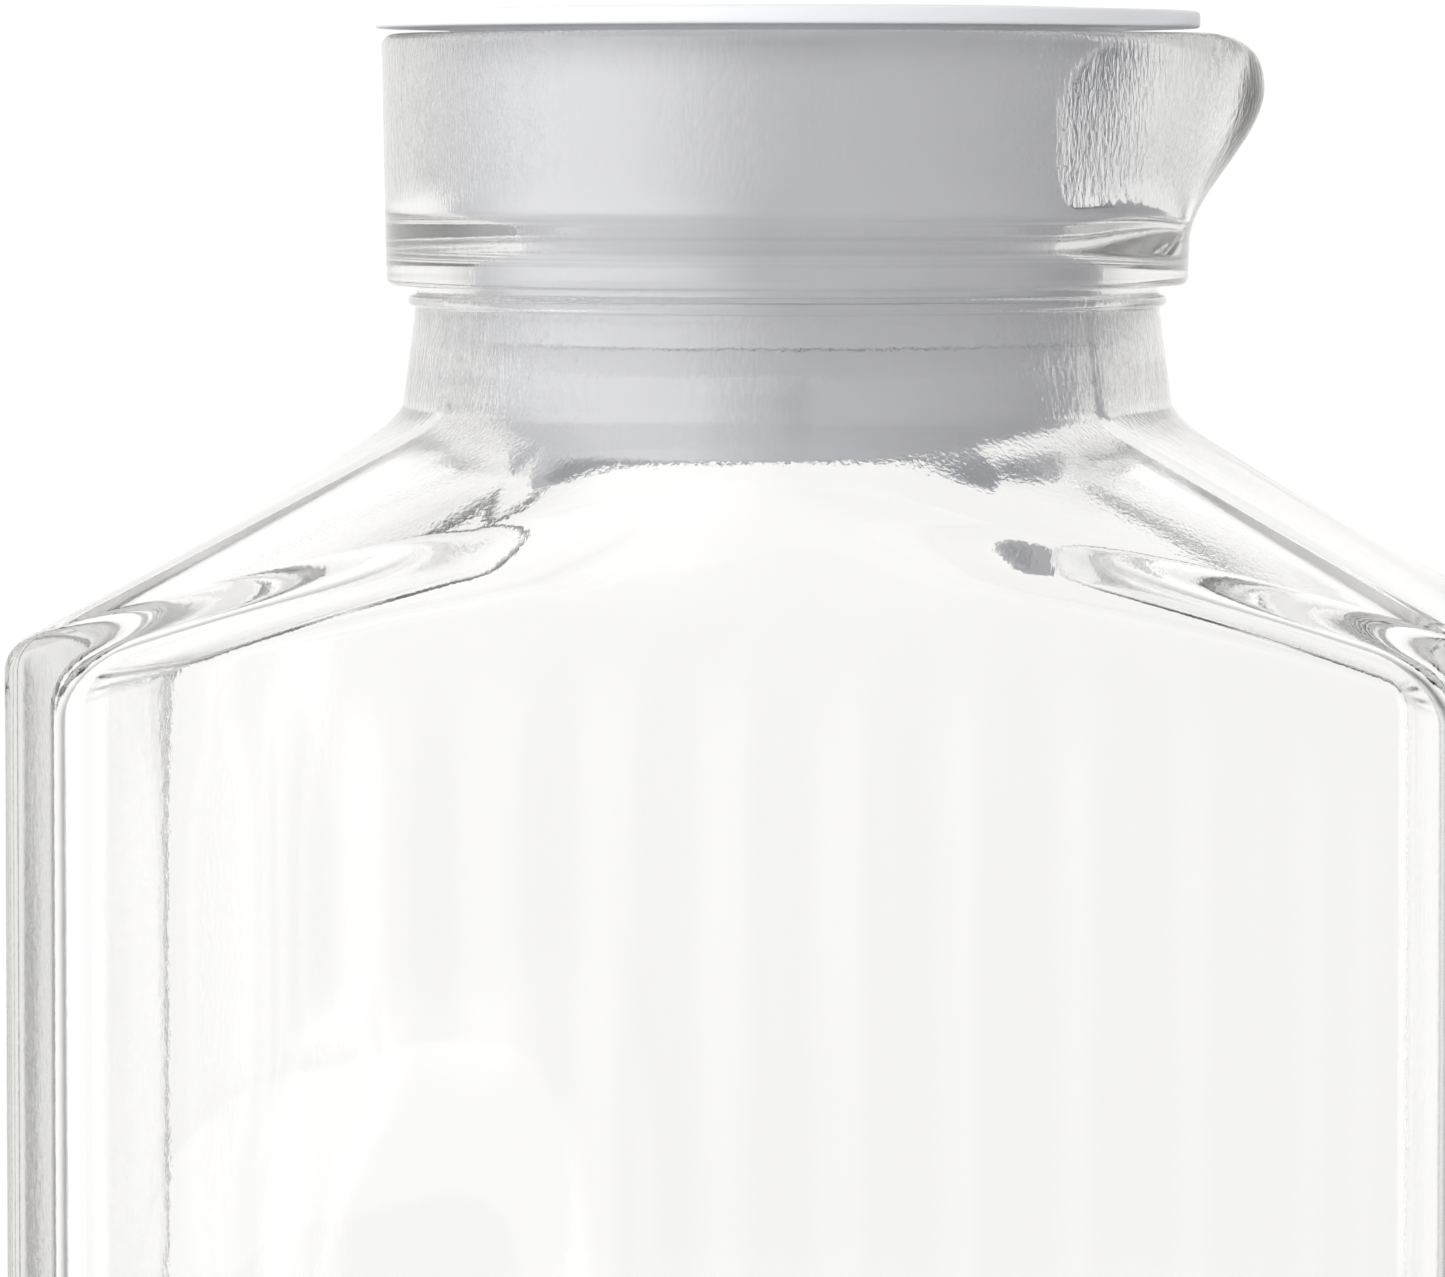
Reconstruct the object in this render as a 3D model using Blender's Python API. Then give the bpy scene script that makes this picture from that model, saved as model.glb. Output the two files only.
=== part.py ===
"""Large water jug for a refrigerator door: a flat-sided glass body and a white stopper lid.

The frame stands on the centre of the foot, +Z is up, the pouring spout points along +X and the
broad fluted faces look along -Y and +Y. Sizes below are in millimetres, and MM turns them into
Blender's metres.

Every surface of the glass is a fan of vertical sections round the neck's axis. Each section holds
the same number of points, so neighbouring sections join into a closed shell of quads.
"""

import math

import bpy

MM = 0.001
GAP = 0.3  # clearance between two pieces that touch on the real jug

# Body
BODY_HALF_WIDTH = 64.5
BODY_HALF_DEPTH = 38.5
BODY_CORNER = 2.0
INNER_CORNER = 6.0
SIDE_WALL = 3.2
FACE_WALL = 3.6
BASE_THICKNESS = 9.0
PUSH_UP = 1.6
FOOT_INSET = 6.0
FOOT_CORNER = 9.0
FOOT_RING_WIDTH = 9.0
FLOOR_ROUND = 9.0

# Shoulder: each broad face ends in a low arch, highest above the middle of the face
ARCH_TOP = 205.2
ARCH_DROP = 0.0026  # mm lost for each square mm of distance from the middle
SHOULDER_WALL = 4.4
SHOULDER_CUT = 2.2
INNER_SHOULDER_CUT = 4.0
MID_FACE_REACH = 26.0  # the shoulder's edge softens within this distance of the middle
MID_FACE_CUT = 7.0

# Neck, ridge and collar
THROAT = (35.1, 213.2)  # where the lines of the shoulder and the neck cross
THROAT_CUT = 3.4
NECK_RADIUS = 33.6
NECK_Z = 216.3
RIDGE_RADIUS = 33.9
RIDGE_Z = (223.4, 224.6)
COLLAR_Z = (225.3, 247.7)
COLLAR_RADIUS = (35.85, 36.25)
RIM_ROUND = 1.1
NECK_BORE = 28.5
COLLAR_BORE = 30.5
LEDGE_Z = (227.7, 231.5)

# Spout
SPOUT_REACH = 42.8
SPOUT_FOOT_Z = 229.0
SPOUT_TIP_Z = 243.0
SPOUT_TIP_RADIUS = 8.0
SPOUT_LIP_ROUND = (1.8, 3.8)  # across and down, where the lip rolls over at the tip
SPOUT_LIP_START = 37.4  # from here the rim dips along an arc towards the tip
SPOUT_LIP_ARC = 5.4
CHANNEL_REACH = 39.6
CHANNEL_TIP_RADIUS = 5.0
CHANNEL_FOOT_SHARE = 0.25

# Soft flutes inside the broad faces, and a smooth grip hollow on each face away from the spout
FLUTE_PITCH = 10.2
FLUTE_DEPTH = 0.3
GRIP_X = -33.7
GRIP_HALF_WIDTH = 20.3
GRIP_Z = 121.0
GRIP_HALF_HEIGHT = 37.0
GRIP_SLANT = 0.27
GRIP_DEPTH = 1.2

# Lid
LID_RADIUS = 36.85
LID_TOP = 250.0
LID_THICKNESS = 1.8
PANEL_RADIUS = 27.0
PANEL_HEIGHT = 0.3
PLUG_RADIUS = COLLAR_BORE - GAP
THROAT_RADIUS = NECK_BORE - GAP
SKIRT_RADIUS = 26.1
SKIRT_BOTTOM = 210.1
SKIRT_WALL = 1.6
GROOVE_Z = (220.0, 223.6)
GROOVE_RADIUS = 26.0
LUG_COUNT = 5
LUG_TURN = math.radians(-92.0)
LUG_HALF_WIDTH = 4.85
LUG_TOP_Z = 217.4
LUG_CREST_Z = 215.9
LUG_PROUD = 1.1
LUG_FLANK_SLOPE = 0.5

# Pour gap: an opening in the plug's wall that faces the spout while the jug pours
POUR_HALF_WIDTH = 18.4
POUR_Z = (232.2, 246.4)
POUR_CORNERS = (2.0, 6.0)  # lower and upper
POUR_X = (12.0, 40.0)

# Sealing ring, from the bottom of its groove to just clear of the neck
SEAL_THICKNESS = 1.9


def smoothstep(value):
    value = min(max(value, 0.0), 1.0)
    return value * value * (3.0 - 2.0 * value)


def plan_radius(angle, inset_x=0.0, inset_y=0.0, corner=BODY_CORNER):
    """Distance from the axis to a rounded rectangle, drawn in from the body's by the insets."""
    half_x = BODY_HALF_WIDTH - inset_x
    half_y = BODY_HALF_DEPTH - inset_y
    cos = max(abs(math.cos(angle)), 1e-9)
    sin = max(abs(math.sin(angle)), 1e-9)
    if half_x * sin / cos <= half_y - corner:
        return half_x / cos
    if half_y * cos / sin <= half_x - corner:
        return half_y / sin
    centre_x = half_x - corner
    centre_y = half_y - corner
    along = centre_x * cos + centre_y * sin
    return along + math.sqrt(along**2 - centre_x**2 - centre_y**2 + corner**2)


def teardrop_radius(angle, ring, reach, tip):
    """Distance from the axis to a circle stretched to a rounded tip at angle 0."""
    centre = reach - tip
    if centre <= ring - tip:
        return ring
    tangent = math.acos((ring - tip) / centre)
    turn = abs(math.atan2(math.sin(angle), math.cos(angle)))
    if turn >= tangent:
        return ring
    tip_end = math.atan2(tip * math.sin(tangent), centre + tip * math.cos(tangent))
    if turn > tip_end:
        return ring / math.cos(turn - tangent)
    return centre * math.cos(turn) + math.sqrt(tip**2 - (centre * math.sin(turn)) ** 2)


def collar_radius(angle, z):
    """The outside of the collar, which swells into the spout towards its top."""
    low, high = COLLAR_Z
    share = (z - low) / (high - low)
    ring = COLLAR_RADIUS[0] + share * (COLLAR_RADIUS[1] - COLLAR_RADIUS[0])
    rise = smoothstep((z - SPOUT_FOOT_Z) / (SPOUT_TIP_Z - SPOUT_FOOT_Z))
    return ring + rise * (teardrop_radius(angle, ring, SPOUT_REACH, SPOUT_TIP_RADIUS) - ring)


def channel_radius(angle, z):
    """The bore of the collar, which opens into the pouring channel behind the spout."""
    rise = smoothstep((z - SPOUT_FOOT_Z) / (COLLAR_Z[1] - SPOUT_FOOT_Z))
    open_share = CHANNEL_FOOT_SHARE + (1.0 - CHANNEL_FOOT_SHARE) * rise
    swell = teardrop_radius(angle, COLLAR_BORE, CHANNEL_REACH, CHANNEL_TIP_RADIUS) - COLLAR_BORE
    return COLLAR_BORE + open_share * swell


def rim_z(angle):
    """Height of the rim: level round the collar, and dipping along an arc at the spout's tip."""
    out = collar_radius(angle, COLLAR_Z[1]) * math.cos(angle) - SPOUT_LIP_ROUND[0]
    along = max(out - SPOUT_LIP_START, 0.0)
    return COLLAR_Z[1] - SPOUT_LIP_ARC + math.sqrt(SPOUT_LIP_ARC**2 - along**2)


def bend(before, corner, after, cut, steps, longer=0.0):
    """Points of a soft curve that cuts a corner of a section, starting and ending on its legs."""

    def on_leg(end, reach):
        length = math.dist(corner, end)
        share = min(reach / length, 0.48)
        return [c + share * (e - c) for c, e in zip(corner, end)]

    start = on_leg(before, cut + longer)
    stop = on_leg(after, cut)
    curve = []
    for step in range(steps + 1):
        t = step / steps
        weights = ((1 - t) ** 2, 2 * t * (1 - t), t * t)
        curve.append(tuple(sum(w * p[i] for w, p in zip(weights, (start, corner, stop))) for i in (0, 1)))
    return curve


def inward(start, stop):
    """The unit normal that points into the jug from a stretch of section that runs upwards."""
    length = math.dist(start, stop)
    return (start[1] - stop[1]) / length, (stop[0] - start[0]) / length


def wall_corner(before, corner, after, wall):
    """The inner corner of a wall of even thickness round an outer corner of a section."""
    below = inward(before, corner)
    above = inward(corner, after)
    share = wall / (1.0 + below[0] * above[0] + below[1] * above[1])
    return tuple(c + share * (b + a) for c, b, a in zip(corner, below, above))


def spaced(start, stop, count):
    """Points strictly between two points of a section."""
    shares = [(i + 1) / (count + 1) for i in range(count)]
    return [tuple(a + s * (b - a) for a, b in zip(start, stop)) for s in shares]


def foot_section(angle):
    ring = FOOT_INSET + FOOT_RING_WIDTH
    wall = (plan_radius(angle), 0.0)
    foot = (plan_radius(angle, FOOT_INSET, FOOT_INSET, FOOT_CORNER), 0.0)
    points = [(plan_radius(angle, ring + PUSH_UP, ring + PUSH_UP, FOOT_CORNER), PUSH_UP)]
    points.append((plan_radius(angle, ring, ring, FOOT_CORNER), 0.0))
    points.append(foot)
    above = (wall[0], FOOT_INSET)
    for step in range(1, 4):
        turn = math.radians(90 * step / 3)
        across = foot[0] + (above[0] - foot[0]) * math.sin(turn)
        points.append((across, FOOT_INSET * (1 - math.cos(turn))))
    return points


def shoulder_corner(angle):
    radius = plan_radius(angle)
    return radius, ARCH_TOP - ARCH_DROP * (radius * math.cos(angle)) ** 2


def mid_face(angle):
    """1 in the middle of a broad face, fading to 0 towards its ends."""
    return smoothstep(1.0 - abs(plan_radius(angle) * math.cos(angle)) / MID_FACE_REACH)


def outer_section(angle):
    """The outside of the glass, from the foot up to the rim."""
    points = foot_section(angle)
    corner = shoulder_corner(angle)
    neck = (NECK_RADIUS, NECK_Z)
    shoulder = bend(points[-1], corner, THROAT, SHOULDER_CUT, 3, MID_FACE_CUT * mid_face(angle))
    points += spaced(points[-1], shoulder[0], 13)
    points += shoulder
    throat = bend(corner, THROAT, neck, THROAT_CUT, 3)
    points += spaced(shoulder[-1], throat[0], 1)
    points += throat
    points += [neck, (NECK_RADIUS - 0.35, RIDGE_Z[0])]
    points += [(RIDGE_RADIUS, RIDGE_Z[0] + 0.2), (RIDGE_RADIUS, RIDGE_Z[1] - 0.2)]
    points += [(NECK_RADIUS - 0.4, RIDGE_Z[1]), (NECK_RADIUS - 0.4, COLLAR_Z[0])]
    low, high = COLLAR_Z
    points.append((collar_radius(angle, low) - 0.9, low))
    for z in (low + 0.8, 228.0, 231.0, 233.5, 236.0, 238.5):
        points.append((collar_radius(angle, z), z))
    return points + rim_section(angle)


def rim_section(angle):
    """The rim from outside to inside: tight round the collar, and rolled over at the spout."""
    high = rim_z(angle)
    outside = collar_radius(angle, high)
    swell = (outside - COLLAR_RADIUS[1]) / (SPOUT_REACH - COLLAR_RADIUS[1])
    across, down = (RIM_ROUND + swell * (lip - RIM_ROUND) for lip in SPOUT_LIP_ROUND)
    points = []
    for step in range(4):
        turn = math.radians(30 * step)
        points.append((outside - across * (1 - math.cos(turn)), high - down * (1 - math.sin(turn))))
    inside = channel_radius(angle, high)
    inner = 0.7
    points.append((inside + inner * (1 - 0.3 * swell), high))
    points.append((inside, high - inner))
    return points


def inner_section(angle):
    """The inside of the glass, from under the rim down to the floor."""
    points = [(channel_radius(angle, z), z) for z in (243.0, 240.0, 237.0, 234.0)]
    points.append((channel_radius(angle, LEDGE_Z[1]), LEDGE_Z[1]))
    points.append((NECK_BORE, LEDGE_Z[0]))
    outer = shoulder_corner(angle)
    wall = plan_radius(angle, SIDE_WALL, FACE_WALL, INNER_CORNER)
    thickness = min(outer[0] - wall, SHOULDER_WALL)
    slope = inward(outer, THROAT)
    on_slope = (outer[0] + thickness * slope[0], outer[1] + thickness * slope[1])
    corner = (wall, on_slope[1] + (on_slope[0] - wall) * slope[0] / slope[1])
    throat_corner = wall_corner(outer, THROAT, (NECK_RADIUS, NECK_Z), thickness)
    neck = (NECK_BORE, NECK_Z - 1.0)
    floor = (wall, BASE_THICKNESS + FLOOR_ROUND)
    throat = bend(neck, throat_corner, corner, THROAT_CUT, 3)
    shoulder = bend(floor, corner, throat_corner, INNER_SHOULDER_CUT, 3, MID_FACE_CUT * mid_face(angle))
    shoulder.reverse()
    points += throat + spaced(throat[-1], shoulder[0], 1) + shoulder
    points += spaced(shoulder[-1], floor, 13) + [floor]
    inset_x = SIDE_WALL + FLOOR_ROUND
    inset_y = FACE_WALL + FLOOR_ROUND
    across = plan_radius(angle, inset_x, inset_y, INNER_CORNER)
    for step in range(1, 4):
        turn = math.radians(90 * step / 3)
        radius = wall - (wall - across) * (1 - math.cos(turn))
        points.append((radius, BASE_THICKNESS + FLOOR_ROUND * (1 - math.sin(turn))))
    return points


def grip_share(x, z):
    """1 inside the grip hollow, fading to 0 at its slanted, rounded outline."""
    across = (x - GRIP_X) / GRIP_HALF_WIDTH
    along = (z - GRIP_Z - GRIP_SLANT * (x - GRIP_X)) / GRIP_HALF_HEIGHT
    return smoothstep((1.0 - across**4 - along**4) / 0.45)


def face_share(x, y, z, inset):
    """1 where a point lies on a broad face's flat wall, 0 elsewhere."""
    flat = BODY_HALF_DEPTH - inset
    if abs(abs(y) - flat) > 0.01:
        return 0.0
    top = ARCH_TOP - ARCH_DROP * x * x - SHOULDER_WALL - INNER_SHOULDER_CUT
    return smoothstep((top - z) / 12.0) * smoothstep((z - BASE_THICKNESS - FLOOR_ROUND) / 12.0)


def press_in(point, inset):
    """Moves a point of a broad face: in for the grip hollow, out for a flute of the inside."""
    x, y, z = point
    flat_end = BODY_HALF_WIDTH - SIDE_WALL - INNER_CORNER
    share = face_share(x, y, z, inset) * smoothstep((flat_end - abs(x)) / (FLUTE_PITCH / 2))
    grip = grip_share(x, z)
    move = -share * grip * GRIP_DEPTH
    if inset > 0.0:
        wave = 0.5 * (1.0 + math.cos(math.tau * x / FLUTE_PITCH))
        move += share * (1.0 - grip) * wave * FLUTE_DEPTH
    return x, math.copysign(abs(y) + move, y), z


def section_angles():
    """Where the sections stand: on every crest and hollow of the flutes, and close at corners."""
    inner_depth = BODY_HALF_DEPTH - FACE_WALL
    inner_width = BODY_HALF_WIDTH - SIDE_WALL
    halves = int(2 * (inner_width - INNER_CORNER) / FLUTE_PITCH)
    face = [math.atan2(inner_depth, i * FLUTE_PITCH / 2) for i in range(halves, -halves - 1, -1)]
    inner_low = math.atan2(inner_depth - INNER_CORNER, inner_width)
    inner_high = math.atan2(inner_depth, inner_width - INNER_CORNER)
    outer_low = math.atan2(BODY_HALF_DEPTH - BODY_CORNER, BODY_HALF_WIDTH)
    outer_high = math.atan2(BODY_HALF_DEPTH, BODY_HALF_WIDTH - BODY_CORNER)
    corner = [inner_low + (outer_low - inner_low) * i / 3 for i in (1, 2)]
    corner += [outer_low + (outer_high - outer_low) * i / 3 for i in range(4)]
    corner += [(outer_high + inner_high) / 2, inner_high]
    side = [inner_low * i / 3 for i in range(-3, 4)]
    mirrored = [math.pi - a for a in reversed(corner)]
    upper = corner + face + mirrored
    other = [math.pi + a for a in side]
    lower = [math.tau - a for a in reversed(upper)]
    return side + upper + other + lower


def add_mesh(name, points, faces, material):
    mesh = bpy.data.meshes.new(name)
    mesh.from_pydata([[c * MM for c in p] for p in points], [], faces)
    mesh.validate()
    mesh.materials.append(material)
    mesh.shade_smooth()
    mesh.set_sharp_from_angle(angle=math.radians(35))
    piece = bpy.data.objects.new(name, mesh)
    bpy.context.scene.collection.objects.link(piece)
    return piece


def shell(name, angles, section, bottom_z, top_z, material):
    """A closed shell from sections, with one pole on the axis at each end of the sections."""
    points = [(0.0, 0.0, bottom_z), (0.0, 0.0, top_z)]
    rows = 0
    for angle in angles:
        column = section(angle)
        rows = len(column)
        points += column
    faces = []
    count = len(angles)
    for i in range(count):
        here = 2 + i * rows
        there = 2 + (i + 1) % count * rows
        faces.append((0, there, here))
        faces += [(here + j, there + j, there + j + 1, here + j + 1) for j in range(rows - 1)]
        faces.append((1, here + rows - 1, there + rows - 1))
    return add_mesh(name, points, faces, material)


def glass_section(angle):
    outer = outer_section(angle)
    inner = inner_section(angle)
    column = []
    for inset, part in ((0.0, outer), (FACE_WALL, inner)):
        for radius, z in part:
            point = (radius * math.cos(angle), radius * math.sin(angle), z)
            column.append(press_in(point, inset))
    return column


def lug_height(angle, z):
    """How far a wedge lug stands proud of the skirt: thick at its top, nothing at the hem."""
    step = math.tau / LUG_COUNT
    turn = (angle - LUG_TURN + step / 2) % step - step / 2
    across = abs(turn) * SKIRT_RADIUS
    if z >= LUG_CREST_Z:
        proud = LUG_PROUD * (LUG_TOP_Z - z) / (LUG_TOP_Z - LUG_CREST_Z)
    else:
        proud = LUG_PROUD * (z - SKIRT_BOTTOM) / (LUG_CREST_Z - SKIRT_BOTTOM)
    return max(min(proud, (LUG_HALF_WIDTH - across) * LUG_FLANK_SLOPE), 0.0)


def lid_section(angle):
    """The lid from the middle of its top, out round the disc, down the plug and up inside it."""
    under = LID_TOP - LID_THICKNESS
    top = LID_TOP - PANEL_HEIGHT
    profile = [(PANEL_RADIUS - 0.5, LID_TOP), (PANEL_RADIUS, top)]
    profile += [(LID_RADIUS - 0.5, top), (LID_RADIUS, top - 0.4), (LID_RADIUS, under + 0.2)]
    profile += [(LID_RADIUS - 0.3, under), (PLUG_RADIUS, under)]
    profile += [(PLUG_RADIUS, LEDGE_Z[1] + GAP), (THROAT_RADIUS, LEDGE_Z[0] + 2 * GAP)]
    profile += [(THROAT_RADIUS, GROOVE_Z[1]), (GROOVE_RADIUS, GROOVE_Z[1])]
    profile += [(GROOVE_RADIUS, GROOVE_Z[0]), (SKIRT_RADIUS + 0.5, GROOVE_Z[0])]
    profile += [(SKIRT_RADIUS, GROOVE_Z[0] - 0.9)]
    for z in (LUG_TOP_Z, LUG_CREST_Z, 213.0, SKIRT_BOTTOM):
        profile.append((SKIRT_RADIUS + lug_height(angle, z), z))
    inner = SKIRT_RADIUS - SKIRT_WALL
    profile += [(inner, SKIRT_BOTTOM), (inner, GROOVE_Z[0] - 2.0), (inner - 0.4, GROOVE_Z[1] + 1.0)]
    profile += [(THROAT_RADIUS - SKIRT_WALL, LEDGE_Z[1]), (PLUG_RADIUS - SKIRT_WALL, LEDGE_Z[1] + 2.0)]
    profile += [(PLUG_RADIUS - SKIRT_WALL, under - 0.8), (PLUG_RADIUS - SKIRT_WALL - 0.8, under)]
    # The section runs downwards outside, so it is reversed to keep the faces outward.
    profile.reverse()
    return [(r * math.cos(angle), r * math.sin(angle), z) for r, z in profile]


def lid_angles():
    step = math.tau / LUG_COUNT
    flank = LUG_HALF_WIDTH / SKIRT_RADIUS
    knee = flank - LUG_PROUD / LUG_FLANK_SLOPE / SKIRT_RADIUS
    near = [-flank, -knee, 0.0, knee, flank]
    between = [flank + (step - 2 * flank) * i / 6 for i in range(1, 6)]
    return [LUG_TURN + step * lug + turn for lug in range(LUG_COUNT) for turn in near + between]


def pour_gap_cutter():
    """A rounded slab along +X that opens the plug's wall, and reaches nothing else of the lid."""
    low, high = POUR_Z
    outline = []
    for quarter, (side, over) in enumerate(((1, 1), (-1, 1), (-1, 0), (1, 0))):
        corner = POUR_CORNERS[over]
        y = side * (POUR_HALF_WIDTH - corner)
        z = high - corner if over else low + corner
        for step in range(5):
            turn = math.radians(90 * (quarter + step / 4))
            outline.append((y + corner * math.cos(turn), z + corner * math.sin(turn)))
    points = [(x, y, z) for x in POUR_X for y, z in outline]
    size = len(outline)
    faces = [tuple(reversed(range(size))), tuple(range(size, 2 * size))]
    faces += [(i, (i + 1) % size, size + (i + 1) % size, size + i) for i in range(size)]
    mesh = bpy.data.meshes.new("pour_gap_cutter")
    mesh.from_pydata([[c * MM for c in p] for p in points], [], faces)
    cutter = bpy.data.objects.new("pour_gap_cutter", mesh)
    cutter.hide_render = True
    cutter.display_type = "WIRE"
    bpy.context.scene.collection.objects.link(cutter)
    return cutter


def cut_pour_gap(lid):
    gap = lid.modifiers.new("pour_gap", "BOOLEAN")
    gap.operation = "DIFFERENCE"
    gap.solver = "EXACT"
    gap.object = pour_gap_cutter()


def seal_ring(name, material):
    """A soft ring with a rounded back, lying in the plug's groove."""
    low = GROOVE_Z[0] + GAP
    high = GROOVE_Z[1] - GAP
    inner = GROOVE_RADIUS + GAP
    outer = inner + SEAL_THICKNESS
    round_cut = 0.6
    loop = [(inner, low), (outer - round_cut, low), (outer, low + round_cut)]
    loop += [(outer, high - round_cut), (outer - round_cut, high), (inner, high)]
    count = 60
    points = []
    for i in range(count):
        turn = math.tau * i / count
        points += [(r * math.cos(turn), r * math.sin(turn), z) for r, z in loop]
    size = len(loop)
    faces = []
    for i in range(count):
        here = i * size
        there = (i + 1) % count * size
        for j in range(size):
            k = (j + 1) % size
            faces.append((here + j, there + j, there + k, here + k))
    return add_mesh(name, points, faces, material)


def principled(name, colour, roughness, transmission=0.0, ior=1.5):
    material = bpy.data.materials.new(name)
    material.use_nodes = True
    shader = material.node_tree.nodes["Principled BSDF"]
    shader.inputs["Base Color"].default_value = (*colour, 1.0)
    shader.inputs["Roughness"].default_value = roughness
    shader.inputs["Metallic"].default_value = 0.0
    shader.inputs["Transmission Weight"].default_value = transmission
    shader.inputs["IOR"].default_value = ior
    return material


def clear_scene():
    for thing in list(bpy.data.objects):
        bpy.data.objects.remove(thing, do_unlink=True)


def build():
    clear_scene()
    glass = principled("clear_glass", (0.97, 0.98, 0.98), 0.02, transmission=1.0, ior=1.52)
    plastic = principled("white_plastic", (0.85, 0.85, 0.87), 0.38)
    soft = principled("soft_white_seal", (0.78, 0.79, 0.81), 0.5)
    shell("glass_jug", section_angles(), glass_section, PUSH_UP, BASE_THICKNESS, glass)
    under = LID_TOP - LID_THICKNESS
    lid = shell("stopper_lid", lid_angles(), lid_section, under, LID_TOP, plastic)
    cut_pour_gap(lid)
    seal_ring("seal_ring", soft)


build()
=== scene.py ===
"""Looks of the refrigerator jug: fine glass, moulded lid and soft seal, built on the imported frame.

The jug stands on the centre of its foot, +Z up, with the spout along +X and the broad fluted
faces towards -Y and +Y. The lengths of the jug are in millimetres here, and add_mesh turns them
into metres; those of the studio and the materials are in metres.
"""

import math

import bpy
from mathutils import Euler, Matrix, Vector


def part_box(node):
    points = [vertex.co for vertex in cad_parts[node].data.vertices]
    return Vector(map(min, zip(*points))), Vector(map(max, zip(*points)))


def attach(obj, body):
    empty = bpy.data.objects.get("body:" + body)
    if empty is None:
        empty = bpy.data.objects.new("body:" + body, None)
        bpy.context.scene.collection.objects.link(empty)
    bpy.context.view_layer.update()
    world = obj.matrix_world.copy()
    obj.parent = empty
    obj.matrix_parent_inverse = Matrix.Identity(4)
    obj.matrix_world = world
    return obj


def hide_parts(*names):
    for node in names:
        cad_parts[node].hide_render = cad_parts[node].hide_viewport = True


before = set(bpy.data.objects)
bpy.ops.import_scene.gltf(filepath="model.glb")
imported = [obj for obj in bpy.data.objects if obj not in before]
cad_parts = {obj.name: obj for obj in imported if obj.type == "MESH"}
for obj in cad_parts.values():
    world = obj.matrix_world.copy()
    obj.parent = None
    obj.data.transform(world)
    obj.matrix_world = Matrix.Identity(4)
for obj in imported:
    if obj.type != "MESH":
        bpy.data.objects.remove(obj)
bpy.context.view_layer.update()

MM = 0.001

_, jug_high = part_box("glass_jug")
lid_low, lid_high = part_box("stopper_lid")
_, seal_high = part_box("seal_ring")

# Body and foot; the outline comes from the frame
HALF_WIDTH = jug_high.x / MM
HALF_DEPTH = jug_high.y / MM
RIM_Z = jug_high.z / MM
CORNER = 2.0
INNER_CORNER = 6.0
SIDE_WALL = 3.2
FACE_WALL = 3.6
FLAT_END = HALF_WIDTH - SIDE_WALL - INNER_CORNER
BASE_THICKNESS = 9.0
FLOOR_ROUND = 9.0
FOOT_INSET = 6.0
FOOT_CORNER = 9.0
FOOT_RING_WIDTH = 9.0
FOOT_RING_FLANK = 3.0
PUSH_UP = 1.6  # height of the hollow under the base, at its edge
PUSH_UP_DOME = 0.6  # and how much higher it is in the middle

# Shoulder
ARCH_TOP = RIM_Z - 42.5
ARCH_DROP = 0.0026
SHOULDER_WALL = 4.4
SHOULDER_CUT = 2.2
INNER_SHOULDER_CUT = 4.0
MID_FACE_REACH = 26.0  # the shoulder's edge softens within this distance from mid-face
MID_FACE_CUT = 7.0
WALL_ROWS = 44  # rows of points between the foot and the shoulder
SLOPE_ROWS = 10  # and between the shoulder and the throat
FACE_STEPS = 108  # steps between the sections along a broad face

# Neck, ridge and collar
THROAT = (35.1, RIM_Z - 34.5)  # where the lines of the shoulder and the neck cross
THROAT_CUT = 3.4
NECK_RADIUS = 33.6
NECK_Z = RIM_Z - 31.4
NECK_TOP_RADIUS = 33.2
RIDGE_RADIUS = 33.9
RIDGE_Z = (RIM_Z - 24.3, RIM_Z - 23.1)
COLLAR_Z = (RIM_Z - 22.4, RIM_Z)
COLLAR_RADIUS = (35.85, 36.25)
RIM_ROUND = 1.1
RIM_INNER_ROUND = 0.8
NECK_BORE = 28.5
COLLAR_BORE = 30.5
LEDGE_Z = (RIM_Z - 20.0, RIM_Z - 16.2)

# Spout
SPOUT_REACH = 42.8
SPOUT_FOOT_Z = RIM_Z - 18.7
SPOUT_TIP_Z = RIM_Z - 4.7
SWELL_END_Z = SPOUT_TIP_Z - 2.0  # above this the outside belongs to the rim
SPOUT_TIP_RADIUS = 8.0
SPOUT_LIP_ROUND = (1.8, 3.8)  # across and down, where the lip rolls over at the tip
SPOUT_LIP_START = 37.4  # from here the rim dips along an arc towards the tip
SPOUT_LIP_ARC = 5.4
CHANNEL_REACH = 39.6
CHANNEL_TIP_RADIUS = 5.0
CHANNEL_FOOT_SHARE = 0.25

# Flutes and grip hollows
FLUTE_PITCH = 10.2
FLUTE_DEPTH = 0.18
FLUTE_FADE = 12.0  # flutes and hollows fade out over this height at both ends of the wall
GRIP_X = -33.7
GRIP_HALF_WIDTH = 20.3
GRIP_Z = 121.0
GRIP_HALF_HEIGHT = 37.0
GRIP_SLANT = 0.27
GRIP_DEPTH = 0.9
GRIP_FADE = 0.8  # share of the hollow taken by its slope

# Lid
LID_RADIUS = lid_high.x / MM
LID_TOP = lid_high.z / MM
LID_THICKNESS = 1.8
PANEL_RADIUS = 27.0
PANEL_HEIGHT = 0.3
PLUG_RADIUS = 30.2
THROAT_RADIUS = 28.2
SKIRT_RADIUS = 26.1
SKIRT_BOTTOM = lid_low.z / MM
SKIRT_WALL = 1.6
SKIRT_HEM = 0.3
SKIRT_FLARE = 1.7  # how far the skirt widens up to the groove
GROOVE_Z = (220.0, 223.6)
GROOVE_RADIUS = 26.0
LUG_COUNT = 5
LUG_TURN = math.radians(-92.0)
LUG_HALF_WIDTH = 4.85
LUG_TOP_Z = 217.4
LUG_CREST_Z = 215.9
LUG_PROUD = 1.1
LUG_FLANK_SLOPE = 0.5

# Pour gap in the plug's wall
POUR_HALF_WIDTH = 18.4
POUR_Z = (232.2, 246.4)
POUR_CORNERS = (2.0, 6.0)  # lower and upper
POUR_X = (12.0, 40.0)

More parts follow.
